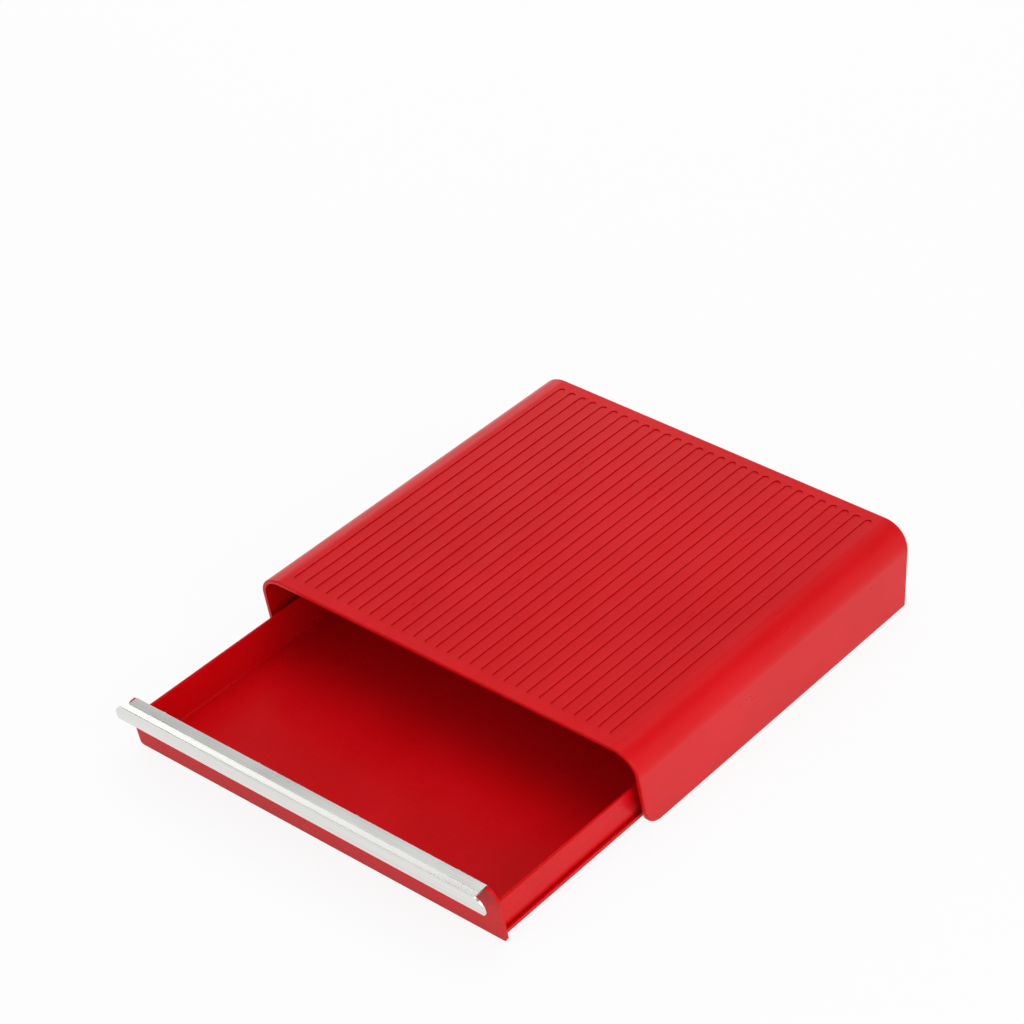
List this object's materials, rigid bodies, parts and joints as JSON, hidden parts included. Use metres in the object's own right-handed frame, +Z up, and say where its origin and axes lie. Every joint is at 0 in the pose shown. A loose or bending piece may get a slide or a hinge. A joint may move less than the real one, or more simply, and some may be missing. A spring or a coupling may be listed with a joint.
{
  "type": "coffee pod drawer",
  "caption": "Low plastic hood with a leaning mouth and a grooved roof for a machine to stand on, over a shallow pod drawer that slides out forwards by a metal handle strip.",
  "frame": {"origin": "on the counter, at the bottom centre of the box around the whole part with the drawer standing open as in the picture", "axes": "+X to the right, -Y to the front (the drawer opens towards -Y), +Z up"},
  "size_m": [0.328, 0.469, 0.069],
  "materials": {
    "red_plastic": "satin gloss",
    "strip_metal": "brushed",
    "screw_steel": "plain",
    "foot_rubber": "matte"
  },
  "bodies": {
    "base": {"hood": "red_plastic", "left_runner": "red_plastic", "right_runner": "red_plastic", "runner_screws": "screw_steel", "front_left_foot": "foot_rubber", "front_right_foot": "foot_rubber", "rear_left_foot": "foot_rubber", "rear_right_foot": "foot_rubber"},
    "drawer": {"drawer": "red_plastic", "handle_strip": "strip_metal", "handle_screws": "screw_steel"}
  },
  "joints": [
    {"name": "drawer_slide", "type": "slide", "parent": "base", "child": "drawer", "axis": [0, -1, 0], "range_m": [-0.142, 0.072]}
  ]
}
